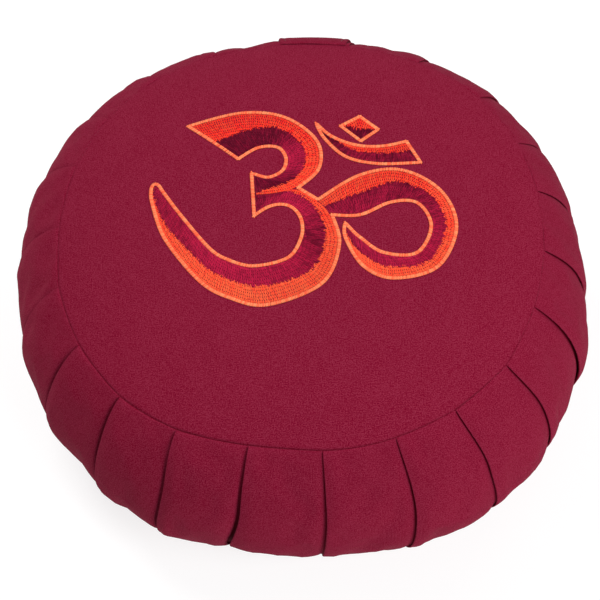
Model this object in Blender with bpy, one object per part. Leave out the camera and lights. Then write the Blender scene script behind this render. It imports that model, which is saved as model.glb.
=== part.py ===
"""A zafu: a round meditation cushion with a knife-pleated side, in Blender.

Metres, +Z up. The origin is the middle of the flat base, the front is -Y, and the carrying strap
is at the back. Angles go counter-clockwise from +X, seen from above.
"""

import math

import bmesh
import bpy

MM = 0.001

# The cushion's plan and height.
SEAM_RADIUS = 0.1489
WAIST_BULGE = 0.0280        # how far the side stands out past the seams
TOP_SEAM_HEIGHT = 0.124
WAIST_HEIGHT = 0.0618
BASE_SEAM_HEIGHT = 0.007
SIDE_ARC = math.radians(58.4)   # the side is round by this much above and below the waist
SIDE_ROWS = 14

# The crown under the top panel, and the flat that the cushion rests on.
CROWN = 0.022
CROWN_POWER = 3.6
CROWN_RINGS = (0.30, 0.58, 0.80, 0.93)
FLAT_SHARE = 0.84
BASE_RINGS = (FLAT_SHARE, 0.92)

CLOTH = 1.5 * MM
GAP = 0.35 * MM

# The fill sits unevenly, so the plan is a little off round: waves of 1 to 4 lobes.
# lobes, seam cosine, seam sine, bulge cosine, bulge sine (mm)
PLAN_WAVES = (
    (1, 0.2, 1.8, 0.7, -2.0),
    (2, 1.2, 0.8, 0.6, -2.3),
    (3, -0.2, -0.1, -0.9, 0.7),
    (4, -2.1, 0.3, -0.8, -0.6),
)

# The side is one band laid in knife pleats. Each panel's folded lip lies over the end of the
# panel before it, so the slit under the lip opens against the direction of the angles.
FIRST_FOLD = math.radians(158.7)
# how far each fold has slipped from its even place (degrees), height of its lip (mm), how far
# its panel puffs out (mm)
PLEATS = (
    (-0.6, 2.2, 2.0), (0.0, 2.4, 0.2), (0.2, 2.6, 1.5), (0.0, 2.7, 0.5), (0.2, 2.9, 3.1),
    (-0.5, 3.1, 3.4), (-0.8, 3.1, 0.4), (0.5, 2.6, 0.4), (1.2, 2.8, 3.6), (0.8, 2.9, 2.0),
    (0.7, 2.7, 0.3), (1.0, 2.6, 1.0), (0.3, 2.6, 1.4), (0.4, 2.3, 1.5), (-1.5, 2.2, 0.8),
    (-2.3, 2.4, 0.3), (-0.8, 2.0, 0.8), (0.0, 1.8, 0.4), (0.0, 1.8, 0.4), (0.4, 1.9, 0.8),
    (-0.4, 2.1, 1.0), (0.3, 2.2, 1.4),
)
LIP_TUCK = 5.0 * MM

# The run of one panel: where the point is across the panel (1 is the next fold), how far it is
# tucked under the lip, and its shares of the lip's height and of the panel's puff.
# across, tucked, lip, puff
PANEL_SECTION = (
    (0.00, 0.0, 0.00, 0.0),
    (0.00, 1.0, 0.25, 0.0),
    (0.00, 0.1, 0.45, 0.0),
    (0.00, 0.0, 0.80, 0.0),
    (0.00, 0.2, 1.00, 0.1),
    (0.20, 0.0, 0.80, 0.7),
    (0.45, 0.0, 0.50, 1.0),
    (0.70, 0.0, 0.25, 0.8),
    (0.90, 0.0, 0.05, 0.3),
)

# The carrying strap.
STRAP_ANGLE = math.radians(86.0)
STRAP_WIDTH = 0.050
STRAP_THICKNESS = 1.8 * MM
STRAP_OVER_PLEATS = 2.8 * MM    # clears the lips that run under it
STRAP_SLACK = 10.5 * MM
SLACK_PLACE = -0.15             # between the base seam (-1) and the top seam (1)
SLACK_SPREAD = 0.38
STRAP_ROWS = 27
STRAP_COLUMNS = 6

CRIMSON = (0.26, 0.012, 0.040, 1.0)
DEEP_CRIMSON = (0.22, 0.010, 0.034, 1.0)


def seam_radius(angle):
    waves = sum(c * math.cos(n * angle) + s * math.sin(n * angle) for n, c, s, _, _ in PLAN_WAVES)
    return SEAM_RADIUS + waves * MM


def waist_bulge(angle):
    waves = sum(c * math.cos(n * angle) + s * math.sin(n * angle) for n, _, _, c, s in PLAN_WAVES)
    return WAIST_BULGE + waves * MM


def fullness(height):
    """0 at either seam (height 1 or -1) and 1 at the waist (height 0)."""
    at_seam = math.cos(SIDE_ARC)
    return max(0.0, (math.cos(height * SIDE_ARC) - at_seam) / (1.0 - at_seam))


def side_point(angle, height, lift):
    """A point of the side, lifted off the unpleated surface along its normal."""
    reach = TOP_SEAM_HEIGHT - WAIST_HEIGHT if height > 0 else WAIST_HEIGHT - BASE_SEAM_HEIGHT
    turn = height * SIDE_ARC
    out = waist_bulge(angle) / (1.0 - math.cos(SIDE_ARC))
    up = reach / math.sin(SIDE_ARC)
    normal_out = up * math.cos(turn)
    normal_up = out * math.sin(turn)
    normal = math.hypot(normal_out, normal_up)
    radius = seam_radius(angle) + out * (math.cos(turn) - math.cos(SIDE_ARC)) + lift * normal_out / normal
    z = WAIST_HEIGHT + up * math.sin(turn) + lift * normal_up / normal
    return radius * math.cos(angle), radius * math.sin(angle), z


def fold_angle(index):
    turns, pleat = divmod(index, len(PLEATS))
    slip = math.radians(PLEATS[pleat][0])
    return FIRST_FOLD + math.tau * (turns + pleat / len(PLEATS)) + slip


def pleated_ring(height):
    """The band's section at one height, panel after panel."""
    full = fullness(height)
    points = []
    for index, (_, lip_height, puff_height) in enumerate(PLEATS):
        start = fold_angle(index)
        width = fold_angle(index + 1) - start
        for across, tucked, lip, puff in PANEL_SECTION:
            angle = start + across * width + tucked * full * LIP_TUCK / SEAM_RADIUS
            lift = full * (lip * lip_height + puff * puff_height) * MM
            points.append(side_point(angle, height, lift))
    return points


def panel_ring(share, height_at, inset=0.0):
    """A ring of a round panel at a share of the seam's radius. The lips end flat in the seam,
    so here the points of one lip fall together."""
    points = []
    for index in range(len(PLEATS)):
        start = fold_angle(index)
        width = fold_angle(index + 1) - start
        for across, _, _, _ in PANEL_SECTION:
            angle = start + across * width
            radius = share * (seam_radius(angle) - inset)
            points.append((radius * math.cos(angle), radius * math.sin(angle), height_at(share)))
    return points


def crown_height(share, below=0.0):
    return TOP_SEAM_HEIGHT + CROWN * (1.0 - share ** CROWN_POWER) - below


def base_height(share, above=0.0):
    curl = max(0.0, (share - FLAT_SHARE) / (1.0 - FLAT_SHARE))
    return BASE_SEAM_HEIGHT * curl ** 2 + above


def crown_rings(below, inset=0.0):
    """Rings of the crown from the middle to the top seam."""
    return [panel_ring(share, lambda s: crown_height(s, below), inset) for share in (0.0, *CROWN_RINGS, 1.0)]


def base_rings(above, inset=0.0):
    """Rings of the base from the bottom seam to the middle."""
    shares = (1.0, *reversed(BASE_RINGS), 0.0)
    return [panel_ring(share, lambda s: base_height(s, above), inset) for share in shares]


def make_material(name, colour, roughness):
    material = bpy.data.materials.new(name)
    material.use_nodes = True
    shader = material.node_tree.nodes["Principled BSDF"]
    shader.inputs["Base Color"].default_value = colour
    shader.inputs["Roughness"].default_value = roughness
    shader.inputs["Metallic"].default_value = 0.0
    return material


def ring_verts(mesh, points):
    """One vertex for each different point, so a ring may close up into a few or into one."""
    verts = []
    known = {}
    for x, y, z in points:
        key = (round(x, 7), round(y, 7), round(z, 7))
        if key not in known:
            known[key] = mesh.verts.new((x, y, z))
        verts.append(known[key])
    return verts


def bridge(mesh, first, second):
    count = len(first)
    for i in range(count):
        j = (i + 1) % count
        corners = []
        for vert in (first[i], first[j], second[j], second[i]):
            if vert not in corners:
                corners.append(vert)
        if len(corners) > 2:
            mesh.faces.new(corners)


def make_object(name, rings, material, sharp_deg=40.0):
    """A closed body skinned over rings. An open first or last ring is capped."""
    mesh = bmesh.new()
    loops = [ring_verts(mesh, ring) for ring in rings]
    for first, second in zip(loops, loops[1:]):
        bridge(mesh, first, second)
    for end in (loops[0], loops[-1]):
        if len(set(end)) > 2:
            mesh.faces.new(end)
    bmesh.ops.recalc_face_normals(mesh, faces=mesh.faces)
    data = bpy.data.meshes.new(name)
    mesh.to_mesh(data)
    mesh.free()
    data.shade_smooth()
    data.set_sharp_from_angle(angle=math.radians(sharp_deg))
    data.materials.append(material)
    body = bpy.data.objects.new(name, data)
    bpy.context.collection.objects.link(body)
    return body


def make_top_panel():
    upper = crown_rings(0.0, GAP)
    under = crown_rings(CLOTH, GAP)
    return make_object("top_panel", upper + under[::-1], make_material("top_cloth", CRIMSON, 0.85))


def make_bottom_panel():
    under = base_rings(0.0, GAP)
    upper = base_rings(CLOTH, GAP)
    return make_object("bottom_panel", upper[::-1] + under, make_material("base_cloth", DEEP_CRIMSON, 0.85))


def make_pleated_side():
    """The band and the fill: the crown, the step that the top panel's edge meets, the pleated
    side, the step for the bottom panel, and the base."""
    heights = [1.0 - 2.0 * row / SIDE_ROWS for row in range(SIDE_ROWS + 1)]
    side = [pleated_ring(height) for height in heights]
    side[0] = panel_ring(1.0, crown_height)
    side[-1] = panel_ring(1.0, base_height)
    rings = crown_rings(CLOTH + GAP) + side + base_rings(CLOTH + GAP)
    return make_object("pleated_side", rings, make_material("side_cloth", CRIMSON, 0.85))


def strap_lift(height):
    slack = math.exp(-(((height - SLACK_PLACE) / SLACK_SPREAD) ** 2))
    return GAP + STRAP_OVER_PLEATS * fullness(height) + STRAP_SLACK * slack


def make_strap():
    """A strip that leaves the top seam, lies over the shoulder, hangs slack and ends in the
    bottom seam. Each ring goes once round the strip."""
    half_turn = 0.5 * STRAP_WIDTH / (SEAM_RADIUS + WAIST_BULGE)
    angles = [STRAP_ANGLE + half_turn * (2.0 * i / STRAP_COLUMNS - 1.0) for i in range(STRAP_COLUMNS + 1)]
    rings = []
    for row in range(STRAP_ROWS + 1):
        height = 1.0 - 2.0 * row / STRAP_ROWS
        lift = strap_lift(height)
        inner = [side_point(angle, height, lift) for angle in angles]
        outer = [side_point(angle, height, lift + STRAP_THICKNESS) for angle in angles]
        rings.append(outer + inner[::-1])
    return make_object("handle", rings, make_material("handle_cloth", DEEP_CRIMSON, 0.85))


for old in list(bpy.data.objects):
    bpy.data.objects.remove(old, do_unlink=True)

make_top_panel()
make_pleated_side()
make_bottom_panel()
make_strap()
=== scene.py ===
import math
import random

import bmesh
import bpy
from mathutils import Matrix, Vector, noise


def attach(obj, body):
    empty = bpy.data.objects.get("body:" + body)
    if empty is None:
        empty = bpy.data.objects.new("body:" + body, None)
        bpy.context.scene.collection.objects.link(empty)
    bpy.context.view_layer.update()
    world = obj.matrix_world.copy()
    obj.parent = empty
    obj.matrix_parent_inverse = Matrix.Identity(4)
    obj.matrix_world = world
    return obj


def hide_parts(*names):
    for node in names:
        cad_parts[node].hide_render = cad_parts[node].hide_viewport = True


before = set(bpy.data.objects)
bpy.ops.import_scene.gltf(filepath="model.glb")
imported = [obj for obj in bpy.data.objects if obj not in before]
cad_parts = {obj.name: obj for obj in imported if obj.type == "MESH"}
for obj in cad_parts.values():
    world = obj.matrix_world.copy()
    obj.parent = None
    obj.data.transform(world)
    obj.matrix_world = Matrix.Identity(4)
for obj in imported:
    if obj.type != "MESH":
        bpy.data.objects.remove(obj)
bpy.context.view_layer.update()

# The camera, the table and the lights.
# The cushion is seen from in front and well above. It lies on a plain white table that glows,
# with two wide soft lights on the right, one high behind it and a weak one at the back.
LOOKING_DOWN = math.radians(59.29)
TURNED_LEFT = math.radians(0.085)
HELD_ASKEW = math.radians(1.204)
CAMERA_PLACE = (0.0, -0.7715, 1.3505)


def put(name, data):
    """Adds an object to the scene."""
    made = bpy.data.objects.new(name, data)
    bpy.context.collection.objects.link(made)
    return made


ahead = Vector((
    -math.cos(LOOKING_DOWN) * math.sin(TURNED_LEFT),
    math.cos(LOOKING_DOWN) * math.cos(TURNED_LEFT),
    -math.sin(LOOKING_DOWN),
))
level_right = Vector((math.cos(TURNED_LEFT), math.sin(TURNED_LEFT), 0.0))
level_up = level_right.cross(ahead)
right = math.cos(HELD_ASKEW) * level_right - math.sin(HELD_ASKEW) * level_up
up = math.sin(HELD_ASKEW) * level_right + math.cos(HELD_ASKEW) * level_up
camera = put("camera", bpy.data.cameras.new("camera"))
camera.data.lens = 143.02
camera.data.sensor_width = 36.0
turn = Matrix((right, up, -ahead)).transposed().to_4x4()
camera.matrix_world = Matrix.Translation(CAMERA_PLACE) @ turn
bpy.context.scene.camera = camera
bpy.context.scene.view_settings.view_transform = "Standard"

HALF_TABLE = 15
table_data = bpy.data.meshes.new("table")
corners = [(x * HALF_TABLE, y * HALF_TABLE, 0) for x, y in ((-1, -1), (1, -1), (1, 1), (-1, 1))]
table_data.from_pydata(corners, [], [(0, 1, 2, 3)])
table = put("table", table_data)
table.location.z = -0.0006


def new_material(name):
    """A material and its Principled BSDF."""
    material = bpy.data.materials.new(name)
    material.use_nodes = True
    return material, material.node_tree.nodes["Principled BSDF"]


table_paint, shader = new_material("table_paint")
for socket, value in (
    ("Base Color", (0.25, 0.25, 0.25, 1.0)),
    ("Roughness", 0.9),
    ("Emission Color", (1.0, 1.0, 1.0, 1.0)),
    ("Emission Strength", 0.8),
):
    shader.inputs[socket].default_value = value
table_data.materials.append(table_paint)

room = bpy.data.worlds.new("room")
room.use_nodes = True
room.node_tree.nodes["Background"].inputs["Color"].default_value = (1.0, 0.99, 0.985, 1.0)
room.node_tree.nodes["Background"].inputs["Strength"].default_value = 0.25
bpy.context.scene.world = room

LIT_PLACE = Vector((0, 0, 0.08))
for lamp_name, place, size, watts in (
    ("light_front_right", (1.0, -1.1, 1.5), 1.1, 16.0),
    ("light_right", (1.5, -0.9, 1.0), 1.0, 15.6),
    ("light_back_left", (-0.9, 1.0, 1.7), 1.0, 30.8),
    ("light_back_right", (0.9, 1.3, 1.1), 1.0, 3.7),
):
    lamp_data = bpy.data.lights.new(lamp_name, "AREA")
    lamp_data.shape = "DISK"
    lamp_data.size = size
    lamp_data.energy = watts
    lamp = put(lamp_name, lamp_data)
    lamp.location = place
    lamp.rotation_mode = "QUATERNION"
    lamp.rotation_quaternion = (LIT_PLACE - Vector(place)).to_track_quat("-Z", "Y")

# The fill and its pleated side.
# One band of crimson cotton goes round the stuffed body, laid in 22 knife pleats. Each folded
# lip lies over the end of the panel before it, and both edges of the band are sewn into a seam.
MM = 0.001
SEAM_RADIUS = 148.9 * MM
WAIST_BULGE = 28.0 * MM
TOP_SEAM_HEIGHT = 124.0 * MM
WAIST_HEIGHT = 61.8 * MM
BASE_SEAM_HEIGHT = 7.0 * MM
SIDE_ARC = math.radians(58.4)
UPPER_RUN = 71.5 * MM       # along the cloth, from the waist to the top seam
LOWER_RUN = 64.0 * MM
CROWN = 22.0 * MM
CROWN_POWER = 3.6
FLAT_SHARE = 0.84
CLOTH = 1.5 * MM
GAP = 0.4 * MM              # between a round cloth and the body under it
ROW_STEP = 2.7              # mm, between the mesh's rows away from the seams

# the plan is a little off round: cosine and sine (mm) of its waves with 1, 2, 3 and 4 lobes
SEAM_WAVES = ((0.2, 1.8), (1.2, 0.8), (-0.2, -0.1), (-2.1, 0.3))
BULGE_WAVES = ((0.7, -2.0), (0.6, -2.3), (-0.9, 0.7), (-0.8, -0.6))
FIRST_FOLD = math.radians(158.7)
# how far the fold has slipped (degrees); height of its lip, puff of its panel, height and width
# of its slit (mm); where the slit is highest, from -1 at the base seam to 1 at the top seam; how
# far the fold leans at the top seam, above the waist and below it (degrees)
PLEATS = (
    (-0.6, 2.2, 2.0, 0.4, 1.0, 0.4, -0.3, -0.6, -0.8),
    (0.0, 2.4, 0.2, 0.5, 1.0, 0.4, 0.4, 0.3, 0.9),
    (0.2, 2.6, 1.5, 0.6, 1.0, 0.5, 0.4, 0.7, 0.5),
    (0.0, 2.7, 0.5, 0.9, 1.3, 0.5, 0.6, 1.0, 0.4),
    (0.2, 2.9, 3.1, 1.2, 1.6, 0.5, 0.5, 1.15, 1.0),
    (-0.5, 3.1, 3.4, 1.4, 1.4, 0.1, 0.15, 1.15, -0.05),
    (-0.8, 3.1, 0.4, 4.2, 3.0, -0.25, 1.0, 1.0, -1.7),
    (0.5, 2.6, 0.4, 1.0, 0.8, 0.2, 0.4, 0.5, -0.4),
    (1.2, 2.4, 3.6, 0.9, 0.6, 0.4, 0.35, 0.9, -0.3),
    (0.8, 2.1, 2.0, 0.85, 0.5, 0.75, -0.3, 1.15, 2.1),
    (0.7, 2.1, 0.3, 0.8, 0.5, 0.75, -0.05, 1.25, 1.8),
    (1.0, 2.4, 1.8, 1.0, 0.6, 0.2, 0.1, 0.4, 0.2),
    (0.3, 1.8, 1.4, 0.75, 0.45, 0.95, 0.2, 1.0, 1.8),
    (0.4, 1.5, 1.5, 0.6, 0.35, 1.1, 0.4, 1.0, 0.9),
    (-1.5, 1.2, 0.8, 0.0, 0.1, 0.4, 0.1, 1.8, 1.0),
    (-2.3, 2.4, 0.3, 0.0, 0.2, 0.4, 0.0, 0.9, 0.3),
    (-0.8, 2.0, 0.8, 0.1, 0.3, 0.4, -0.2, 0.3, 0.6),
    (0.0, 1.8, 0.4, 0.1, 0.4, 0.4, 0.2, -0.3, 0.1),
    (0.0, 1.8, 0.4, 0.1, 0.5, 0.4, -0.1, 0.2, -0.5),
    (0.4, 1.9, 0.8, 0.2, 0.5, 0.4, 0.0, -0.5, 0.2),
    (-0.4, 2.1, 1.0, 0.2, 0.6, 0.4, 0.3, 0.1, -0.3),
    (0.3, 2.2, 1.4, 0.3, 0.8, 0.4, -0.2, -0.4, 0.1),
)


def waved(even, waves, angle):
    return even + MM * sum(
        c * math.cos(lobes * angle) + s * math.sin(lobes * angle)
        for lobes, (c, s) in enumerate(waves, 1)
    )


def seam_radius(angle):
    return waved(SEAM_RADIUS, SEAM_WAVES, angle)


def fullness(height):
    """0 at either seam (height 1 or -1) and 1 at the waist (height 0)."""
    at_seam = math.cos(SIDE_ARC)
    return max(0.0, (math.cos(height * SIDE_ARC) - at_seam) / (1.0 - at_seam))


def point_round(radius, angle, z):
    return Vector((radius * math.cos(angle), radius * math.sin(angle), z))


def side_point(angle, height, lift, stretch=0.0):
    """A point of the side, lifted off the unpleated surface along its normal."""
    reach = TOP_SEAM_HEIGHT - WAIST_HEIGHT if height > 0 else WAIST_HEIGHT - BASE_SEAM_HEIGHT
    turned = height * SIDE_ARC
    out = waved(WAIST_BULGE, BULGE_WAVES, angle) / (1.0 - math.cos(SIDE_ARC))
    rise = reach / math.sin(SIDE_ARC)
    normal_out = rise * math.cos(turned)
    normal_up = out * math.sin(turned)
    normal = math.hypot(normal_out, normal_up)
    radius = seam_radius(angle) + out * (math.cos(turned) - math.cos(SIDE_ARC))
    radius += stretch + lift * normal_out / normal
    z = WAIST_HEIGHT + rise * math.sin(turned) + lift * normal_up / normal
    return point_round(radius, angle, z)


def fold_angle(index):
    turns, pleat = divmod(index, len(PLEATS))
    return FIRST_FOLD + math.tau * (turns + pleat / len(PLEATS)) + math.radians(PLEATS[pleat][0])


FOLDS = [fold_angle(index) for index in range(len(PLEATS) + 1)]


def eased(share):
    share = min(1.0, max(0.0, share))
    return share * share * (3.0 - 2.0 * share)


def leaning_folds(height):
    """Where the folds are at a height, each one leaning its own way."""
    places = []
    for index, fold in enumerate(FOLDS):
        at_seam, above, below = PLEATS[index % len(PLEATS)][6:]
        lean = below + (above - below) * eased((height + 0.4) / 0.8)
        lean += (at_seam - above) * eased((height - 0.4) / 0.6)
        places.append(fold + math.radians(lean))
    return places


# how far the seam lies outside its even line (mm), at each fold and halfway to the next one
SEAM_WANDER = (
    (0.0, -0.3), (0.0, -0.4), (0.5, -0.1), (0.0, -0.2), (0.9, 0.7), (0.8, -0.4),
    (-0.8, -0.7), (0.9, 1.2), (0.6, -0.3), (-0.2, -0.7), (0.5, -0.5), (-0.5, -0.4),
) + 10 * ((0.0, -0.3),)


def seam_wander(angle):
    """The sewn line is not quite round, and it runs straighter between the folds."""
    beyond = (angle - FOLDS[0]) % math.tau + FOLDS[0]
    for index, (start, end) in enumerate(zip(FOLDS, FOLDS[1:])):
        if beyond <= end:
            t = (beyond - start) / (end - start)
            at_fold, halfway = SEAM_WANDER[index]
            at_next = SEAM_WANDER[(index + 1) % len(PLEATS)][0]
            ends = at_fold * (1.0 - t) * (1.0 - 2.0 * t) + at_next * t * (2.0 * t - 1.0)
            return (ends + 4.0 * halfway * t * (1.0 - t)) * MM
    return 0.0


OPENEST = 250.0             # the angle and the spread of the seams' open part (degrees)
OPEN_SPREAD = 65.0
SEAM_DIP_WIDTH = 0.5        # mm
SEAM_SHADE_WIDTH = 0.3


def seam_opening(angle):
    """How open the seams' grooves are. The fill presses them shut, except at the front left."""
    off = (math.degrees(angle) - OPENEST + 180.0) % 360.0 - 180.0
    return math.exp(-((off / OPEN_SPREAD) ** 2))


def seam_dip(distance, angle):
    """How far the cloth dips, at a distance from the seam (both in mm)."""
    return (0.08 + 0.8 * seam_opening(angle)) * math.exp(-((distance / SEAM_DIP_WIDTH) ** 1.5))


def seam_shade(distance, angle):
    """The shade painted on the cloth in the groove: below 0, and 0 away from it."""
    return -(0.02 + 0.85 * seam_opening(angle)) * math.exp(-((distance / SEAM_SHADE_WIDTH) ** 2))


def side_rows():
    """Heights of the mesh rows, closer together by the seams, and their distances from a seam."""
    close = [0.0, 0.2, 0.4, 0.65, 0.95, 1.4, 2.1, 3.2, 4.6, 6.5, 8.8]
    rows = []
    for run, sign in ((UPPER_RUN / MM, 1.0), (LOWER_RUN / MM, -1.0)):
        steps = round((run - close[-1]) / ROW_STEP)
        far = [close[-1] + (run - close[-1]) * k / steps for k in range(1, steps + 1)]
        half = [(sign * (1.0 - distance / run), distance) for distance in close + far]
        rows += half if sign > 0 else half[-2::-1]
    return rows


LAYERS = 1.6                # mm, the thickness of a folded lip
SHUT_SLIT = 0.15            # mm, the height of a slit that is pressed shut


def slit_bell(index, height):
    """1 where the slit under a lip is highest, falling off faster below."""
    off = height - PLEATS[index % len(PLEATS)][5]
    return math.exp(-((off / (0.9 if off > 0.0 else 0.58)) ** 2))


def slit_height(index, height):
    gape = PLEATS[index % len(PLEATS)][3]
    return SHUT_SLIT * (0.4 + 0.6 * fullness(height)) + gape * slit_bell(index, height)


def slit_depth(index, height):
    """How wide the slit is here and how much shade is painted in and beside it, as a share of where it is
    highest.
    """
    return 0.35 + 0.65 * slit_bell(index, height)


def panel_points(pleat, height, to_seam):
    """One panel's section at a height, from the slit under its lip to the next slit. Each point
    is its share of the way across, a shift round the cushion and a lift (mm), and the shade (below
    0) or highlight (above 0) painted on the cloth there."""
    sewn_down = 1.0 - math.exp(-to_seam)
    full = (0.4 + 0.6 * fullness(height)) * sewn_down
    lip, puff = PLEATS[pleat][1:3]
    next_pleat = PLEATS[(pleat + 1) % len(PLEATS)]
    next_lip, slit = next_pleat[1], next_pleat[4]
    pressed = 1.0 - 0.4 * eased(-height / 0.7)
    lip *= full * pressed
    puff *= fullness(height)
    layers = LAYERS * full * pressed
    gap = slit_height(pleat, height) * sewn_down
    floor = lip - layers - gap
    next_floor = (next_lip - LAYERS) * full * pressed - slit_height(pleat + 1, height) * sewn_down
    shade = slit_depth(pleat, height)
    next_shade = slit_depth(pleat + 1, height)
    slit *= sewn_down * next_shade
    # the last value is painted: shade in the slit and under the lip, and a highlight on the lip's rounded
    # edge
    slit_and_lip = (
        (0.2, 0.95 * floor, -1.0),
        (2.5, floor, -1.0),
        (5.4, floor + 0.1 * full, -1.0),
        (6.3, floor + 0.5 * gap, -1.0),
        (5.4, floor + 0.9 * gap, -1.0),
        (2.6, lip - layers, -shade),
        (0.9, lip - layers + 0.02 * full, -0.9 * shade),
        (0.15, lip - 0.92 * layers, -0.5 * shade),
        (-0.35, lip - 0.68 * layers, -0.1 * shade),
        (-0.5, lip - 0.42 * layers, 0.0),
        (-0.35, lip - 0.2 * layers, 0.2),
        (0.15, lip - 0.05 * layers, 0.3),
        (1.0, lip, 0.1),
    )
    points = [(0.0, shift * full, lift, painted_shading) for shift, lift, painted_shading in slit_and_lip]
    for across in (0.07, 0.12, 0.18, 0.25, 0.33, 0.42, 0.51, 0.6, 0.69, 0.77, 0.84, 0.9):
        fall = lip * (1.0 - across) ** 1.3
        swell = puff * math.sin(math.pi * across) ** 0.8
        points.append((across, 0.0, fall + swell, 0.0))
    # the panel's end, where it runs under the next lip, is painted with shade
    points += [
        (0.945, 0.0, 0.175 * puff + 0.1 * full, 0.0),
        (1.0, -1.1 * full - slit, 0.02 * full, 0.0),
        (1.0, -0.45 * full - slit, 0.3 * next_floor, -0.35 * next_shade),
        (1.0, -0.45 * full - 0.5 * slit, 0.7 * next_floor, -0.9 * next_shade),
        (1.0, -0.3 * full, 0.9 * next_floor, -next_shade),
    ]
    return points


def ripple(place, seed, size):
    return noise.noise(Vector((place.x, place.y, place.z + seed)) / size)


def swollen_panels(columns=8, rows=34, steps=20, most=3.0):
    """How far the fill presses each panel out between its folds (mm), in a grid of columns and
    rows. The band starts a little slack, held along its folds and in both seams."""
    shape = bmesh.new()
    spots = []
    rings = []
    for row in range(rows + 1):
        height = 1.0 - 2.0 * row / rows
        ring = []
        for start, end in zip(FOLDS, FOLDS[1:]):
            for column in range(columns):
                across = column / columns
                angle = start + across * (end - start)
                flat = side_point(angle, height, 0.0)
                lift = -0.9 * fullness(height) * math.sin(math.pi * across)
                lift += 0.3 * fullness(height) ** 0.5 * ripple(flat, 13.0, 0.012) if column else 0.0
                ring.append(shape.verts.new(side_point(angle, height, lift * MM)))
                spots.append((flat, (side_point(angle, height, MM) - flat).normalized()))
        rings.append(ring)
    count = len(rings[0])
    for first, second in zip(rings, rings[1:]):
        for i in range(count):
            j = (i + 1) % count
            shape.faces.new((first[i], first[j], second[j], second[i]))
    for ring, z in ((rings[0], TOP_SEAM_HEIGHT), (rings[-1], BASE_SEAM_HEIGHT)):
        middle = shape.verts.new((0.0, 0.0, z))
        for i in range(count):
            shape.faces.new((ring[i], middle, ring[(i + 1) % count]))
    bmesh.ops.recalc_face_normals(shape, faces=shape.faces)
    data = bpy.data.meshes.new("slack_band")
    shape.to_mesh(data)
    shape.free()
    band = put("slack_band", data)
    held = [i for i in range(len(spots)) if i % columns == 0 or i < count or i >= count * rows]
    held += [len(spots), len(spots) + 1]
    band.vertex_groups.new(name="held").add(held, 1.0, "REPLACE")
    cloth = band.modifiers.new("cloth", "CLOTH")
    cloth.settings.use_pressure = True
    cloth.settings.uniform_pressure_force = 4.0
    cloth.settings.effector_weights.gravity = 0.0
    cloth.settings.vertex_group_mass = "held"
    cloth.settings.shrink_min = -0.012
    cloth.settings.bending_stiffness = 0.3
    cloth.collision_settings.use_collision = False
    cloth.point_cache.frame_end = steps
    for step in range(1, steps + 1):
        bpy.context.scene.frame_set(step)
    swollen = band.evaluated_get(bpy.context.evaluated_depsgraph_get()).data
    lifts = []
    for vertex, (flat, outward) in zip(swollen.vertices, spots):
        moved = (vertex.co - flat).dot(outward) / MM
        lifts.append(min(most, max(-most, moved)))
    bpy.context.scene.frame_set(1)
    bpy.data.objects.remove(band, do_unlink=True)
    return [lifts[row * count:(row + 1) * count] for row in range(rows + 1)]


SWOLLEN = swollen_panels()


def swelling(pleat, across, height):
    """The fill's push at a place of a panel, in mm."""
    if SWOLLEN is None:
        return 0.4 * fullness(height) * math.sin(math.pi * across)
    columns = len(SWOLLEN[0]) // len(PLEATS)
    row = (1.0 - height) / 2.0 * (len(SWOLLEN) - 1)
    place = (pleat + across) * columns
    low_row, low_place = min(int(row), len(SWOLLEN) - 2), int(place)
    down, onward = row - low_row, place - low_place
    above, below = (
        line[low_place % len(line)] * (1.0 - onward) + line[(low_place + 1) % len(line)] * onward
        for line in SWOLLEN[low_row:low_row + 2]
    )
    return above * (1.0 - down) + below * down


# how much further the fill stands out in the lower half (mm), at each fold and at a quarter, half
# and three quarters of the way to the next one
EVEN = 4 * (0.0,)
LOW_FILL = 3 * EVEN + (
    0.9, 0.3, 0.0, 0.8,
    1.8, 0.4, -0.6, 1.6,
    4.2, 0.6, 0.0, 0.7,
    -1.0, 1.1, 2.6, 3.2,
    1.2, 0.7, 1.7, 4.0,
    3.9, 1.7, 2.3, 2.6,
    3.0, 0.5, 3.0, 3.3,
    0.6, 1.0, 1.5, 0.4,
    0.8, 3.0, 4.2, 3.4,
    0.8, 0.3, 0.0, 1.8,
    3.0, 0.7, -1.8, -0.1,
    0.6, 0.0, 0.0, 0.0,
) + 7 * EVEN


def curve_value(before, start, end, after, t):
    """Catmull-Rom: a smooth value at a share t of the way from the start to the end."""
    bend = 2 * before - 5 * start + 4 * end - after
    twist = 3 * start - before - 3 * end + after
    return 0.5 * (2 * start + (end - before) * t + bend * t * t + twist * t ** 3)


def low_fill(pleat, across, height):
    place = (pleat + across) * len(EVEN)
    start = int(place)
    near = (LOW_FILL[(start + k) % len(LOW_FILL)] for k in (-1, 0, 1, 2))
    return curve_value(*near, place - start) * fullness(height) * eased((0.5 - height) / 0.9)


PANEL_STRIDE = 90.0 * MM    # along the cloth, from one panel to the next
SIDE_RADIUS = 170.0 * MM


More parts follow.
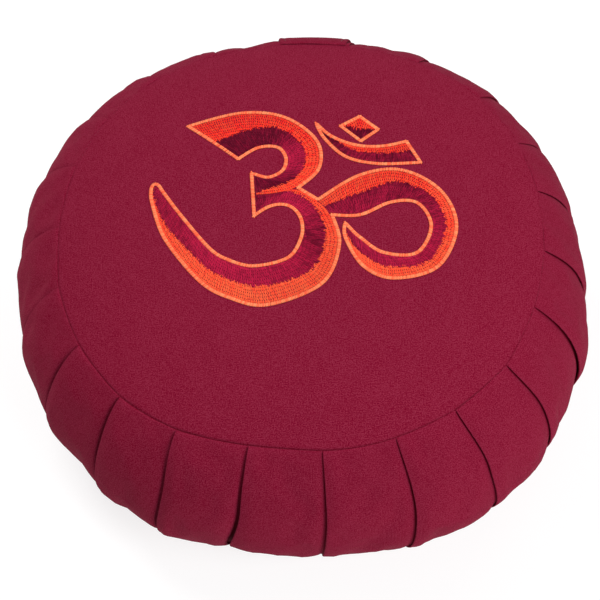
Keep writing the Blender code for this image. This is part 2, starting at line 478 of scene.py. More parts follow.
def pleated_ring(height, to_seam):
    """The band's section at one height, panel after panel. Each point has its weave coordinates
    and the shade or highlight painted on the cloth there."""
    ring = []
    near_seam = math.exp(-to_seam / 7.0)
    down = to_seam * MM if height > 0 else UPPER_RUN + LOWER_RUN - to_seam * MM
    places = leaning_folds(height)
    for pleat, (start, end) in enumerate(zip(places, places[1:])):
        for across, shift, lift, painted_shading in panel_points(pleat, height, to_seam):
            angle = start + across * (end - start) + shift * MM / SEAM_RADIUS
            flat = side_point(angle, height, 0.0)
            soft = math.sin(math.pi * min(1.0, max(0.0, across))) ** 0.5
            lift += swelling(pleat, across, height) if shift == 0.0 else 0.0
            lift += low_fill(pleat, across, height)
            lift += soft * (0.6 * ripple(flat, 2.0 + pleat, 0.034) + 0.2 * ripple(flat, 5.0, 0.012))
            lift += soft * near_seam * 0.35 * ripple(flat, 9.0, 0.006)
            bow = seam_wander(angle) * (1.0 - fullness(height)) ** 2
            spot = side_point(angle, height, (lift - seam_dip(to_seam, angle)) * MM, bow)
            along = pleat * PANEL_STRIDE + across * (end - start) * SIDE_RADIUS + shift * MM
            # near the seam the groove's painted shade is taken if darker than the fold's, and it dims any
            # painted highlight
            painted_shading = min(painted_shading, seam_shade(to_seam, angle) + max(painted_shading, 0.0))
            ring.append((spot, (along, down), painted_shading))
    return ring


def crown_height(share):
    return TOP_SEAM_HEIGHT + CROWN * (1.0 - share ** CROWN_POWER)


def base_height(share):
    return BASE_SEAM_HEIGHT * max(0.0, (share - FLAT_SHARE) / (1.0 - FLAT_SHARE)) ** 2


class Signal:
    """One socket of a material's nodes. Arithmetic on signals adds their Math nodes."""

    def __init__(self, tree, socket=None):
        self.tree = tree
        self.socket = socket

    def node(self, kind, sockets, output=0, **settings):
        """Adds a shader node, with the values or links of its sockets."""
        made = self.tree.nodes.new("ShaderNode" + kind)
        for name, value in settings.items():
            setattr(made, name, value)
        for name, value in sockets.items():
            if isinstance(value, Signal):
                self.tree.links.new(value.socket, made.inputs[name])
            else:
                made.inputs[name].default_value = value
        return Signal(self.tree, made.outputs[output])

    def other(self, output):
        """Another output of the same node."""
        return Signal(self.tree, self.socket.node.outputs[output])

    def maths(self, operation, first, second=0.0, clamp=False):
        return self.node("Math", {0: first, 1: second}, operation=operation, use_clamp=clamp)

    def __add__(self, value):
        return self.maths("ADD", self, value)

    def __radd__(self, value):
        return self.maths("ADD", value, self)

    def __sub__(self, value):
        return self.maths("SUBTRACT", self, value)

    def __rsub__(self, value):
        return self.maths("SUBTRACT", value, self)

    def __mul__(self, value):
        return self.maths("MULTIPLY", self, value)

    def __rmul__(self, value):
        return self.maths("MULTIPLY", value, self)

    def __pow__(self, value):
        return self.maths("POWER", self, value)

    def sine(self):
        return self.maths("SINE", self)

    def __abs__(self):
        return self.maths("ABSOLUTE", self)

    def within_one(self):
        return self.maths("ADD", self, 0.0, clamp=True)

    def colour(self, low, high):
        """Mixes two colours by this signal."""
        return self.node("Mix", {0: self, 6: low, 7: high}, 2, data_type="RGBA")

    def feed(self, shader, name):
        self.tree.links.new(self.socket, shader.inputs[name])


def noise_at(start, x, y, z, detail=1.0):
    place = start.node("CombineXYZ", {"X": x, "Y": y, "Z": z})
    return start.node("TexNoise", {"Vector": place, "Scale": 1.0, "Detail": detail})


def woven_cotton(name, colour, seed):
    """Plain weave. Every thread has its own thickness and takes the dye a little unevenly. Shade is
    painted dark into the folds, slits and seams, and a paler highlight is painted along each lip's edge."""
    threads = 1.0 / (0.62 * MM)     # to the metre
    material, shader = new_material(name)
    start = Signal(material.node_tree)
    place = start.node("UVMap", {}, uv_map="weave")
    x = start.node("SeparateXYZ", {"Vector": place})
    y = x.other("Y")
    wander = noise_at(start, x * 45.0, y * 45.0, seed)
    warp = x * threads + wander * 1.6
    weft = y * threads + wander * 1.6
    crossing = (warp * math.pi).sine() * (weft * math.pi).sine()
    relief = abs(crossing) ** 0.55
    warp_on_top = (crossing * 6.0 + 0.1).within_one()
    warp_thread = noise_at(start, warp * 1.5, weft * 0.14, seed + 3.0)
    weft_thread = noise_at(start, warp * 0.14, weft * 1.5, seed + 8.0)
    thread = warp_on_top * warp_thread + (1.0 - warp_on_top) * weft_thread
    grain = noise_at(start, x * 1200.0, y * 1700.0, seed + 11.0)
    mottle = noise_at(start, x * 60.0, y * 60.0, seed + 17.0, 2.0)
    # the relief term paints the hollows between the threads a little darker: painted shade
    tone = 0.5 + (thread - 0.5) * 2.2 + (relief - 0.62) * 0.6 + (grain - 0.5) * 3.7 + (mottle - 0.5) * 0.3
    deep = (colour[0] * 0.78, colour[1] * 0.02, colour[2] * 0.46, 1.0)
    pale = (colour[0] * 1.22, colour[1] * 1.98, colour[2] * 1.54, 1.0)
    # the colour of the shade painted down in the folds, slits and seam grooves
    fold_shade = (colour[0] * 0.45, colour[1] * 0.02, colour[2] * 0.2, 1.0)
    cloth = tone.within_one().colour(deep, pale)
    # painted shade below 0 in folds, slits and seams, and a painted highlight above 0 on the lips' edges
    painted_shading = start.node("Attribute", {}, "Fac", attribute_name="painted_shading")
    cloth = (painted_shading * -0.9).within_one().colour(cloth, fold_shade)
    # painted highlight: paler on the lips' rounded edges
    cloth = (painted_shading * 0.35).within_one().colour(cloth, pale)
    cloth.feed(shader, "Base Color")
    (0.9 - 0.1 * relief).feed(shader, "Roughness")
    height = relief * 0.7 + thread * 0.5 + grain * 0.5
    bump = start.node("Bump", {"Strength": 0.5, "Distance": 0.0003, "Height": height})
    bump.feed(shader, "Normal")
    shader.inputs["Specular IOR Level"].default_value = 0.04
    return material


def finish_mesh(name, mesh, material):
    mesh.normal_update()
    data = bpy.data.meshes.new(name)
    mesh.to_mesh(data)
    mesh.free()
    data.shade_smooth()
    data.materials.append(material)
    return put(name, data)


def skin_rings(name, rings, material):
    """A closed body over rings of points. A point is its place, its weave coordinates and the
    shade or highlight painted there. The ends are single points."""
    mesh = bmesh.new()
    weave = mesh.loops.layers.uv.new("weave")
    painted_shading = mesh.verts.layers.float.new("painted_shading")
    loops = []
    for ring in rings:
        loop = []
        for place, _, value in ring:
            vert = mesh.verts.new(place)
            vert[painted_shading] = value
            loop.append(vert)
        loops.append(loop)
    for upper, lower in zip(zip(loops, rings), zip(loops[1:], rings[1:])):
        count = max(len(upper[0]), len(lower[0]))
        for i in range(count):
            j = (i + 1) % count
            corners = []
            for (loop, ring), k in ((upper, i), (upper, j), (lower, j), (lower, i)):
                k = k if len(loop) > 1 else 0
                if loop[k] not in [vert for vert, _ in corners]:
                    u, v = ring[k][1]
                    if j == 0 and k == 0 and len(loop) > 1:
                        u += ring[-1][1][0] + ring[1][1][0]
                    corners.append((loop[k], (u, v)))
            face = mesh.faces.new([vert for vert, _ in corners])
            for corner, (_, spot) in zip(face.loops, corners):
                corner[weave].uv = spot
    bmesh.ops.recalc_face_normals(mesh, faces=mesh.faces)
    return finish_mesh(name, mesh, material)


def hidden_ring(distance, cloth_height, side):
    """A ring of the body under one of the round cloths, at a distance from its seam (mm). The
    side is 1 above and -1 below."""
    ring = []
    share = 1.0 - distance * MM / SEAM_RADIUS
    z = cloth_height(share) - side * (CLOTH + GAP)
    places = leaning_folds(side)
    for pleat, (start, end) in enumerate(zip(places, places[1:])):
        for across, shift, _, _ in panel_points(pleat, side, 0.0):
            angle = start + across * (end - start) + shift * MM / SEAM_RADIUS
            radius = share * (seam_radius(angle) + seam_wander(angle))
            dip = seam_dip(distance, angle) * 1.1 * MM
            spot = point_round(radius, angle, z - side * dip)
            # the body under the round cloths shows only in the seam's gap, so it is painted with full shade
            ring.append((spot, (spot.x, spot.y), -1.0))
    return ring


CRIMSON = (0.213, 0.0101, 0.0337)
side_cloth = woven_cotton("side_cloth", CRIMSON, 1.0)
crown_middle = [(Vector((0, 0, crown_height(0.0) - CLOTH - GAP)), (0.0, 0.0), 0.0)]
base_middle = [(Vector((0, 0, CLOTH + GAP)), (0.0, 0.0), 0.0)]
body_rings = [crown_middle]
for distance in (120, 90, 65, 45, 30, 20, 12, 7, 4, 2.4, 1.5, 0.9):
    body_rings.append(hidden_ring(distance, crown_height, 1.0))
body_rings += [pleated_ring(height, to_seam) for height, to_seam in side_rows()]
for distance in (0.9, 1.5, 2.4, 4, 7, 12, 20, 26, 60, 110):
    body_rings.append(hidden_ring(distance, base_height, -1.0))
body_rings.append(base_middle)
pleated_side = skin_rings("pleated_side_cloth", body_rings, side_cloth)
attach(pleated_side, "root")
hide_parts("pleated_side")

# The round top cloth.
# A disc of the same cotton, drawn tight over the crown and turned down into the top seam.
EDGE_INSET = 0.35 * MM      # where the groove is open


def spread_shares():
    """Shares of the radius for the mesh's rings: close together at the edge, even inside."""
    closest = [0.0, 0.2, 0.4, 0.65, 0.95, 1.4, 2.1, 3.2, 4.8, 7.0]
    radius = SEAM_RADIUS / MM
    steps = round((radius - closest[-1]) / ROW_STEP)
    inner = [(radius - closest[-1]) * k / steps / radius for k in range(steps + 1)]
    return inner + [1.0 - distance / radius for distance in reversed(closest[:-1])]


def disc_place(i, j, shares):
    """The share of the radius and the angle of a square grid's point laid out as a disc."""
    ring = max(abs(i), abs(j))
    if ring == 0:
        return 0.0, 0.0
    if abs(i) >= abs(j):
        angle = math.pi / 4.0 * j / i + (math.pi if i < 0 else 0.0)
    else:
        angle = math.pi / 2.0 - math.pi / 4.0 * i / j + (math.pi if j < 0 else 0.0)
    return shares[ring], angle


def round_cloth(name, surface, inward, material):
    """A round cloth. Its right side is a function of share and angle, and its wrong side is the
    same, moved inward along Z."""
    shares = spread_shares()
    reach = len(shares) - 1
    mesh = bmesh.new()
    weave = mesh.loops.layers.uv.new("weave")
    painted_shading = mesh.verts.layers.float.new("painted_shading")
    span = range(-reach, reach + 1)
    layers = []
    for moved in (0.0, inward):
        layer = {}
        for i in span:
            for j in span:
                share, angle = disc_place(i, j, shares)
                place = surface(share, angle)
                place.z += moved
                layer[i, j] = mesh.verts.new(place)
                to_seam = (1.0 - share) * SEAM_RADIUS / MM
                # painted shade in the seam's groove
                layer[i, j][painted_shading] = seam_shade(to_seam, angle)
        layers.append(layer)
    for layer, order in zip(layers, (1, -1)):
        for i in span[:-1]:
            for j in span[:-1]:
                corners = [layer[i, j], layer[i + 1, j], layer[i + 1, j + 1], layer[i, j + 1]]
                mesh.faces.new(corners[::order])
    rim = [(k, -reach) for k in span[:-1]] + [(reach, k) for k in span[:-1]]
    rim += [(-k, reach) for k in span[:-1]] + [(-reach, -k) for k in span[:-1]]
    for k, corner in enumerate(rim):
        after = rim[(k + 1) % len(rim)]
        mesh.faces.new((layers[0][corner], layers[1][corner], layers[1][after], layers[0][after]))
    bmesh.ops.recalc_face_normals(mesh, faces=mesh.faces)
    for face in mesh.faces:
        for corner in face.loops:
            corner[weave].uv = corner.vert.co.xy
    return finish_mesh(name, mesh, material)


def edge_radius(angle):
    return seam_radius(angle) + seam_wander(angle) - EDGE_INSET * (0.3 + 0.7 * seam_opening(angle))


def crown_relief(x, y, share):
    """The crown's gentle unevenness, in mm, which ends before the seam."""
    spot = Vector((x, y, 0.0))
    calm = min(1.0, 8.0 * (1.0 - share))
    inner = 0.55 * ripple(spot, 3.0, 0.055) + 0.12 * ripple(spot, 3.0, 0.016)
    return calm * inner + 0.18 * (1.0 - calm) * ripple(spot, 3.0, 0.007)


def top_surface(share, angle):
    place = point_round(share * edge_radius(angle), angle, crown_height(share))
    dip = seam_dip((1.0 - share) * SEAM_RADIUS / MM, angle)
    place.z += (crown_relief(place.x, place.y, share) - dip) * MM
    return place


top_cotton = woven_cotton("top_cloth", CRIMSON, 21.0)
top_cloth = round_cloth("top_cloth", top_surface, -CLOTH, top_cotton)
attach(top_cloth, "root")
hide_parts("top_panel")

# The round base cloth.
# Another disc of the cotton, a little darker. The cushion rests on it, so it is flat but for the
# rim, which curls up into the base seam.


def base_surface(share, angle):
    dip = seam_dip((1.0 - share) * SEAM_RADIUS / MM, angle)
    return point_round(share * edge_radius(angle), angle, base_height(share) + dip * MM)


DEEP_CRIMSON = (0.2, 0.0093, 0.0312)
base_cotton = woven_cotton("base_cloth", DEEP_CRIMSON, 41.0)
base_cloth = round_cloth("base_cloth", base_surface, CLOTH, base_cotton)
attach(base_cloth, "root")
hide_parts("bottom_panel")

# The seams.
# A machine sews the round cloths to the band with dark crimson thread. The stitches lie at the
# bottom of the groove between them.


def stitch_tree():
    """One stitch on every point of a mesh, which carries the stitch's direction and length."""
    tree = bpy.data.node_groups.new("machine_stitches", "GeometryNodeTree")
    for label, kind in (
        ("Places", "Geometry"),
        ("Thread width", "Float"),
        ("Thread height", "Float"),
        ("Sides", "Int"),
        ("Thread", "Material"),
    ):
        tree.interface.new_socket(label, in_out="INPUT", socket_type="NodeSocket" + kind)
    tree.interface.new_socket("Stitches", in_out="OUTPUT", socket_type="NodeSocketGeometry")

    def add(kind, sockets, **settings):
        made = tree.nodes.new(kind)
        for label, value in settings.items():
            setattr(made, label, value)
        for label, value in sockets.items():
            if isinstance(value, bpy.types.NodeSocket):
                tree.links.new(value, made.inputs[label])
            else:
                made.inputs[label].default_value = value
        return made.outputs

    def maths(operation, first, second=0.5):
        return add("ShaderNodeMath", {0: first, 1: second}, operation=operation)[0]

    def carried(label, kind="FLOAT_VECTOR"):
        return add("GeometryNodeInputNamedAttribute", {"Name": label}, data_type=kind)[0]

    given = add("NodeGroupInput", {})
    ball = add("GeometryNodeMeshUVSphere", {"Segments": given["Sides"], "Rings": 4, "Radius": 1.0})
    spot = add("ShaderNodeSeparateXYZ", {"Vector": add("GeometryNodeInputPosition", {})[0]})
    far = maths("POWER", maths("ABSOLUTE", spot["Z"]), 0.45)
    blunt = maths("MULTIPLY", far, maths("SIGN", spot["Z"]))
    spot = add("ShaderNodeCombineXYZ", {"X": spot["X"], "Y": spot["Y"], "Z": blunt})
    pill = add("GeometryNodeSetPosition", {"Geometry": ball["Mesh"], "Position": spot[0]})
    pill = add("GeometryNodeSetShadeSmooth", {"Geometry": pill[0]})
    turned = add(
        "FunctionNodeAxesToRotation",
        {"Primary Axis": carried("along"), "Secondary Axis": carried("upward")},
        primary_axis="Z", secondary_axis="Y",
    )
    half_width = maths("MULTIPLY", given["Thread width"])
    half_height = maths("MULTIPLY", given["Thread height"])
    half_length = maths("MULTIPLY", carried("reach", "FLOAT"))
    scale = add("ShaderNodeCombineXYZ", {"X": half_width, "Y": half_height, "Z": half_length})
    laid = add(
        "GeometryNodeInstanceOnPoints",
        {"Points": given["Places"], "Instance": pill[0], "Rotation": turned[0], "Scale": scale[0]},
    )
    real = add("GeometryNodeRealizeInstances", {"Geometry": laid[0]})
    dyed = add("GeometryNodeSetMaterial", {"Geometry": real[0], "Material": given["Thread"]})
    add("NodeGroupOutput", {"Stitches": dyed[0]})
    return tree


STITCHES = stitch_tree()


def sew(name, stitches, width, height, thread, sides=5):
    """Makes one piece of many stitches. Each has its two ends, the cloth's normal and a shade."""
    places = bpy.data.meshes.new(name + "_places")
    places.from_pydata([(a + b) / 2.0 for a, b, _, _ in stitches], [], [])
    for label, kind, field, values in (
        ("along", "FLOAT_VECTOR", "vector", [c for a, b, _, _ in stitches for c in (b - a).normalized()]),
        ("upward", "FLOAT_VECTOR", "vector", [c for _, _, normal, _ in stitches for c in normal]),
        ("reach", "FLOAT", "value", [(b - a).length for a, b, _, _ in stitches]),
        ("shade", "FLOAT", "value", [shade for _, _, _, shade in stitches]),
    ):
        places.attributes.new(label, kind, "POINT").data.foreach_set(field, values)
    holder = put(name + "_places", places)
    modifier = holder.modifiers.new("stitches", "NODES")
    modifier.node_group = STITCHES
    given = {"Thread width": width, "Thread height": height, "Sides": sides, "Thread": thread}
    for item in STITCHES.interface.items_tree:
        if item.name in given:
            modifier[item.identifier] = given[item.name]
    sewn = bpy.data.meshes.new_from_object(holder.evaluated_get(bpy.context.evaluated_depsgraph_get()))
    sewn.name = name
    for label in ("along", "upward", "reach"):
        sewn.attributes.remove(sewn.attributes[label])
    bpy.data.objects.remove(holder, do_unlink=True)
    made = put(name, sewn)
    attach(made, "root")


def sewing_thread(name, dark, light, roughness=0.42):
    """Twisted thread: dark to light from stitch to stitch, and a little along each one."""
    material, shader = new_material(name)
    start = Signal(material.node_tree)
    shade = start.node("Attribute", {}, "Fac", attribute_name="shade")
    place = start.node("TexCoord", {}, "Object")
    strands = start.node("TexNoise", {"Vector": place, "Scale": 2600.0, "Detail": 1.0})
    tone = (shade + (strands - 0.5) * 0.35).within_one()
    tone.colour(dark + (1.0,), light + (1.0,)).feed(shader, "Base Color")
    (roughness + 0.2 * (strands - 0.5)).feed(shader, "Roughness")
    bump = start.node("Bump", {"Strength": 0.3, "Distance": 0.0001, "Height": strands})
    bump.feed(shader, "Normal")
    shader.inputs["Specular IOR Level"].default_value = 0.06
    return material


dice = random.Random(22)


def seam_stitches():
    stitches = []
    count = 330
    for seam_height, side in ((TOP_SEAM_HEIGHT, 1.0), (BASE_SEAM_HEIGHT, -1.0)):
        for k in range(count):
            ends = []
            for part in (0.08, 0.92):
                angle = math.tau * (k + part) / count
                radius = seam_radius(angle) + seam_wander(angle) - 0.25 * MM
                z = seam_height - side * (seam_dip(0.0, angle) + 0.1) * MM
                ends.append(point_round(radius, angle, z))
            stitches.append((ends[0], ends[1], Vector((0, 0, side)), dice.random()))
    return stitches


seam_thread = sewing_thread("seam_thread", (0.1, 0.004, 0.014), (0.18, 0.008, 0.026))
sew("seam_stitches", seam_stitches(), 0.5 * MM, 0.5 * MM, seam_thread, 4)

# The carrying strap.
# Two layers of the cotton, 50 mm wide and topstitched along both edges. It leaves the top seam
# at the back, lies over the shoulder, hangs slack and ends in the base seam.
STRAP_ANGLE = math.radians(86.0)
STRAP_WIDTH = 50.0 * MM
STRAP_THICKNESS = 1.8 * MM
OVER_PLEATS = 2.9 * MM      # clears the lips that run under it
SLACK = 10.5 * MM
SLACK_PLACE = -0.15         # between the base seam (-1) and the top seam (1)
SLACK_SPREAD = 0.38
HALF_STRAP = 0.5 * STRAP_WIDTH / (SEAM_RADIUS + WAIST_BULGE)
TOPSTITCH = 4.0 * MM


def strap_lift(height):
    slack = math.exp(-(((height - SLACK_PLACE) / SLACK_SPREAD) ** 2))
    return 0.15 * MM + OVER_PLEATS * fullness(height) + SLACK * slack


def strap_point(across, height, side):
    """A point of the strap: across and side run from -1 to 1. Its edges are rounded."""
    edge = (1.0 - abs(across)) * STRAP_WIDTH / 2.0
    plump = (1.0 - max(0.0, 1.0 - edge / (1.2 * MM)) ** 2) ** 0.5
    groove = 0.35 * MM * math.exp(-(((edge - TOPSTITCH) / (0.7 * MM)) ** 2))
    angle = STRAP_ANGLE + HALF_STRAP * across
    flat = side_point(angle, height, strap_lift(height))
    sway = 0.35 * ripple(flat, 31.0, 0.018) + 0.12 * ripple(flat, 37.0, 0.006)
    in_seam = math.exp(-(1.0 - abs(height)) * LOWER_RUN / (2.5 * MM))
    half = STRAP_THICKNESS / 2.0 * (1.0 - 0.6 * in_seam)
    out = half + side * (half * max(plump, 0.05) - groove * (1.0 - in_seam))
    lift = strap_lift(height) + out + sway * MM * fullness(height)
    return side_point(angle, height, lift)


def strap_rings():
    rings = []
    rows = 76
    weave_run = 0.16
    across = [-1.0, -0.985, -0.955, -0.91, -0.87, -0.84, -0.81, -0.76, -0.66, -0.5, -0.3, -0.1]
    across += [-a for a in reversed(across)]
    for row in range(rows + 1):
        height = 1.0 - 2.0 * row / rows
        along = row / rows * weave_run
        outer = [(strap_point(a, height, 1.0), (0.5 + a * 0.025, along), 0.0) for a in across]
        # the strap's inner side, against the band, is painted with a little shade
        inner = [(strap_point(a, height, -1.0), (0.6 - a * 0.025, along), -0.1) for a in reversed(across)]
        rings.append(outer + inner)
    caps = []
    for ring in (rings[0], rings[-1]):
        middle = sum((place for place, _, _ in ring), Vector()) / len(ring)
        # the strap's ends are painted with a little shade
        caps.append([(middle, (0.5, 0.0), -0.1)])
    return [caps[0], *rings, caps[1]]


strap = skin_rings("carry_strap", strap_rings(), woven_cotton("handle_cloth", DEEP_CRIMSON, 61.0))
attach(strap, "root")
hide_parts("handle")


def strap_stitches():
    stitches = []
    count = 46
    row = 1.0 - 2.0 * TOPSTITCH / STRAP_WIDTH
    for across in (-row, row):
        for side in (1.0, -1.0):
            for k in range(1, count - 1):
                ends = [strap_point(across, 1.0 - 2.0 * (k + part) / count, side) for part in (0.1, 0.9)]
                wide = strap_point(across + 0.02, 1.0 - 2.0 * (k + 0.5) / count, side) - ends[0]
                normal = (ends[1] - ends[0]).cross(wide).normalized()
                stitches.append((ends[0], ends[1], normal, dice.random()))
    return stitches


sew("strap_stitches", strap_stitches(), 0.65 * MM, 0.5 * MM, seam_thread)

# The embroidery.
# Machine stitching in rayon thread on the top cloth: the old Om sign in round pen strokes. A pale
# orange satin line goes round long and short stitches, orange outside and purple inside.

# Each station of a stroke has its outer and inner edge (mm from the middle of the cushion), the
# orange share of the way across, and how light the purple is there, from 0 to 1.
UPPER_BOWL = (
    (-68, 73, -37, 45, 0.52, 0.0),
    (-35, 81, -25, 53, 0.48, 0.0),
    (-8, 76, -13, 53, 0.41, 0.18),
    (11, 57.5, -8, 45, 0.41, 0.85),
    (12, 37, -10, 36, 0.44, 0.6),
    (-1, 23, -18, 31, 0.42, 0.1),
    (-15, 18.2, -24, 32, 0.36, 0.0),
    (-28, 17.2, -28, 34, 0.02, 0.1),
)
LOWER_BOWL = (
    (-28, 18.4, -28, 3, 0.0, 0.3),
    (-13, 20.2, -19, 9.5, 0.03, 0.5),
    (-1, 22.5, -10, 11, 0.26, 0.72),
    (11, 14, -3, 7, 0.32, 0.8),
    (19, 3, 1, -2, 0.34, 0.52),
    (23, -18, 0, -14, 0.36, 0.38),
    (12, -45, -8, -27, 0.42, 0.62),
    (-20, -58.4, -28, -32, 0.47, 0.85),
    (-42, -53.2, -43.5, -27, 0.47, 0.85),
    (-60.5, -40.5, -55, -18, 0.46, 0.78),
    (-81, -10.5, -72, 6, 0.34, 0.55),
    (-89, 15, -83, 24, 0.22, 0.55),
    (-89, 28, -86, 29, 0.1, 0.55),
)
LOOP = (
    (11, 14, 19, 3, 0.42, 0.5),
    (36, 31, 36, 2.5, 0.44, 0.48),
    (62, 35, 55, 11.5, 0.38, 0.36),
    (85.5, 20.5, 71, 11, 0.41, 0.4),
    (93.6, -5, 78.4, -5, 0.42, 0.58),
    (81, -33, 69, -24, 0.42, 0.78),
    (55, -41.6, 49, -24, 0.44, 0.62),
    (37, -33.5, 35.5, -13.4, 0.42, 0.5),
    (26.8, -13.5, 30.1, -7.3, 0.3, 0.45),
    (27, -3, 27, -3, 0.1, 0.4),
)
CRESCENT = (
    (11, 71, 11, 71, 0.0, 0.0),
    (20, 61, 16, 59, 0.1, 0.05),
    (35, 54, 29, 45, 0.38, 0.38),
    (51, 53, 49, 39.6, 0.42, 0.38),
    (66, 57, 74, 41, 0.42, 0.26),
)
DIAMOND = (
    (26, 68.8, 26, 68.8, 0.5, 0.0),
    (32, 72.7, 32, 62.9, 0.5, 0.0),
    (38, 76.6, 38, 57, 0.5, 0.0),
    (43.5, 71.3, 43.5, 61.5, 0.5, 0.0),
    (49, 66, 49, 66, 0.5, 0.0),
)
# the stitches of the fill and of the satin line (mm)
FILL_PITCH = 0.64
FILL_ABOVE = 0.22
FILL_EDGE = 0.85            # in from the satin's middle, so that the satin covers it
NARROWEST = 2.2
STITCH_REACH = 4.6
SHORTEST = 0.5
COLOUR_OVERLAP = 0.4
ALL_PURPLE = 0.04           # an orange share up to this leaves the orange out
SATIN_WIDTH = 2.4
SATIN_PITCH = 0.5
SATIN_ABOVE = 0.36
SATIN_SLANT = 0.18
PAST_CORNER = 1.1
TAPER = 1.8


def flowing(stations, per_span):
    """Smooth values through the stations, in a number of steps from each to the next."""
    rows = []
    last = len(stations) - 1
    for span in range(last):
        near = [stations[min(max(span + k, 0), last)] for k in (-1, 0, 1, 2)]
        for step in range(per_span):
            rows.append([curve_value(*values, step / per_span) for values in zip(*near)])
    rows.append(list(stations[last]))
    return rows


def cloth_at(x, y, above):
    """The top cloth's surface over a place in the plan, with its normal (all in mm)."""
    x *= MM
    y *= MM

    def height(px, py):
        angle = math.atan2(py, px)
        share = math.hypot(px, py) / edge_radius(angle)
        return crown_height(share) + crown_relief(px, py, share) * MM

    z = height(x, y)
    normal = Vector((z - height(x + MM, y), z - height(x, y + MM), MM)).normalized()
    return Vector((x, y, z)) + normal * above * MM, normal


def lay_stitch(start, end, above, shade):
    first, normal = cloth_at(*start, above)
    second, _ = cloth_at(*end, above)
    return first, second, normal, shade


def paced(rows, share, pitch):
    """Picks rows a stitch's pitch apart, measured at a share of the way across the stroke."""
    picked = []
    travelled = pitch
    place = None
    for row in rows:
        spot = Vector((row[0] + (row[2] - row[0]) * share, row[1] + (row[3] - row[1]) * share))
        if place is not None:
            travelled += (spot - place).length
        if travelled >= pitch:
            picked.append(row)
            travelled -= pitch
        place = spot
    return picked


def fill_stroke(stations, seed):
    """Rows of stitches across a stroke: orange from the outer edge, then purple. Each row starts
    half a stitch on from the one before it. The colours meet in uneven teeth."""
    orange, purple = [], []
    rows = flowing(stations, 160)
    for colour in (orange, purple):
        middle = 0.2 if colour is orange else 0.7
        for count, row in enumerate(paced(rows, middle, FILL_PITCH)):
            outer = Vector(row[0:2])
            inner = Vector(row[2:4])
            orange_share, lightness = row[4:6]
            width = (inner - outer).length
            if width < NARROWEST:
                continue
            along = (inner - outer) / width
            change = FILL_EDGE
            if orange_share > ALL_PURPLE:
                tooth = 1.1 * noise.noise(Vector((outer.x * 0.3, outer.y * 0.3, seed)))
                tooth += 2.2 * noise.noise(Vector((outer.x * 1.3, outer.y * 1.3, seed)))
                change = min(max(orange_share * width + tooth, FILL_EDGE), width - FILL_EDGE)
            low, high = FILL_EDGE, change + COLOUR_OVERLAP
            if colour is purple:
                low, high = change - COLOUR_OVERLAP, width - FILL_EDGE
            at = FILL_EDGE - STITCH_REACH * (0.5 + 0.5 * (count % 2) + 0.14 * (dice.random() - 0.5))
            while at < high - 0.3:
                first = max(low, at)
                second = min(high, at + STITCH_REACH)
                at += STITCH_REACH
                if second - first < SHORTEST:
                    continue
                if colour is orange:
                    shade = 0.48 - 0.0045 * outer.y + 0.6 * (dice.random() - 0.5)
                else:
                    deeper = 0.2 * math.exp(-(((first + second) / 2.0 - change) / 2.0) ** 2)
                    streak = 0.2 * noise.noise(Vector((outer.x * 0.35, outer.y * 0.35, seed + first)))
                    streak += 0.25 * noise.noise(Vector((first * 0.8, outer.x * 0.04, outer.y * 0.04 + seed)))
                    shade = lightness + 0.05 + streak - deeper + 0.5 * (dice.random() - 0.5)
                needle = 0.2 + 0.0015 * outer.y if colour is orange else 0.26
                start = outer + along * (first + needle)
                end = outer + along * (second - needle)
                shade = min(1.0, max(0.0, shade))
                colour.append(lay_stitch(start, end, FILL_ABOVE, shade))
    return orange, purple


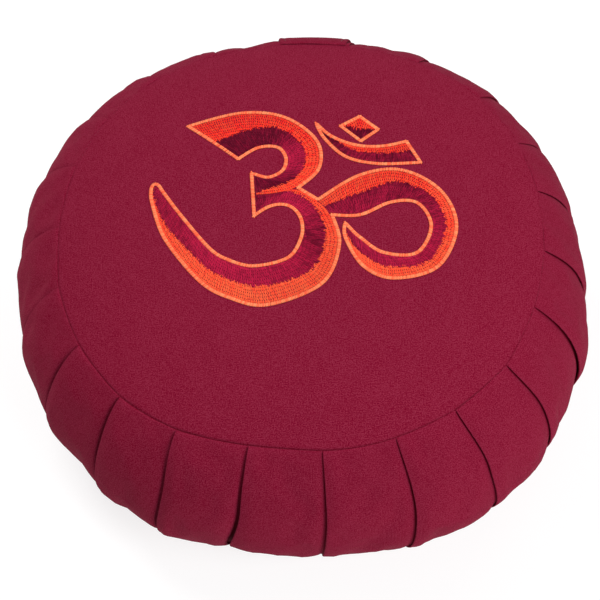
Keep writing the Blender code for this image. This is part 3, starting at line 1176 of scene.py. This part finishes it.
def satin_line(points):
    """A satin line: close stitches from side to side across a path. Its ends run to a point a
    little past the corners."""
    stitches = []
    first, second = Vector(points[0]), Vector(points[1])
    last, before = Vector(points[-1]), Vector(points[-2])
    first += (first - second).normalized() * PAST_CORNER
    last += (last - before).normalized() * PAST_CORNER
    path = [tuple(first), *points[1:-1], tuple(last)]
    rows = flowing([(x, y, x, y) for x, y in path], 120)
    places = [Vector(row[0:2]) for row in paced(rows, 0.5, SATIN_PITCH)]
    for k, place in enumerate(places):
        onward = (places[min(k + 1, len(places) - 1)] - places[max(k - 1, 0)]).normalized()
        aside = Vector((-onward.y, onward.x))
        to_end = min(k, len(places) - 1 - k) * SATIN_PITCH
        half = SATIN_WIDTH / 2.0 * min(1.0, 0.25 + 0.75 * to_end / TAPER) + 0.08 * (dice.random() - 0.5)
        reach = aside * half + onward * SATIN_SLANT
        shade = 0.5 + 0.9 * (dice.random() - 0.5)
        stitches.append(lay_stitch(place - reach, place + reach, SATIN_ABOVE, shade))
    return stitches


orange_stitches, purple_stitches = [], []
for number, stroke in enumerate((UPPER_BOWL, LOWER_BOWL, LOOP, CRESCENT, DIAMOND)):
    orange_part, purple_part = fill_stroke(stroke, number * 11.0)
    orange_stitches += orange_part
    purple_stitches += purple_part


def outer_edge(stroke):
    return [station[0:2] for station in stroke]


def inner_edge(stroke):
    return [station[2:4] for station in stroke]


satin_paths = [
    outer_edge(UPPER_BOWL)[0:6],
    [(-1, 23), (11, 14)],
    outer_edge(LOOP),
    inner_edge(LOOP),
    outer_edge(LOWER_BOWL)[4:-1] + [(-90, 26), (-88, 30), (-85, 28)] + inner_edge(LOWER_BOWL)[-2::-1],
    [(-27.6, 3), (-29, 34.3)],
    inner_edge(UPPER_BOWL),
    [(-37, 45), (-68, 73)],
    outer_edge(CRESCENT),
    inner_edge(CRESCENT),
    [(66, 57), (74, 41)],
]
corners = [DIAMOND[0][0:2], DIAMOND[2][0:2], DIAMOND[4][0:2], DIAMOND[2][2:4], DIAMOND[0][0:2]]
satin_paths += [list(side) for side in zip(corners, corners[1:])]
outline_stitches = [stitch for path in satin_paths for stitch in satin_line(path)]

orange_thread = sewing_thread("orange_thread", (0.95, 0.030, 0.021), (1.0, 0.155, 0.060), 0.5)
purple_thread = sewing_thread("purple_thread", (0.110, 0.0010, 0.016), (0.56, 0.013, 0.066), 0.5)
outline_thread = sewing_thread("outline_thread", (1.0, 0.11, 0.050), (1.0, 0.34, 0.150), 0.5)
sew("embroidery_orange", orange_stitches, 0.64 * MM, 0.55 * MM, orange_thread)
sew("embroidery_purple", purple_stitches, 0.66 * MM, 0.55 * MM, purple_thread)
sew("embroidery_outline", outline_stitches, 0.66 * MM, 0.6 * MM, outline_thread)
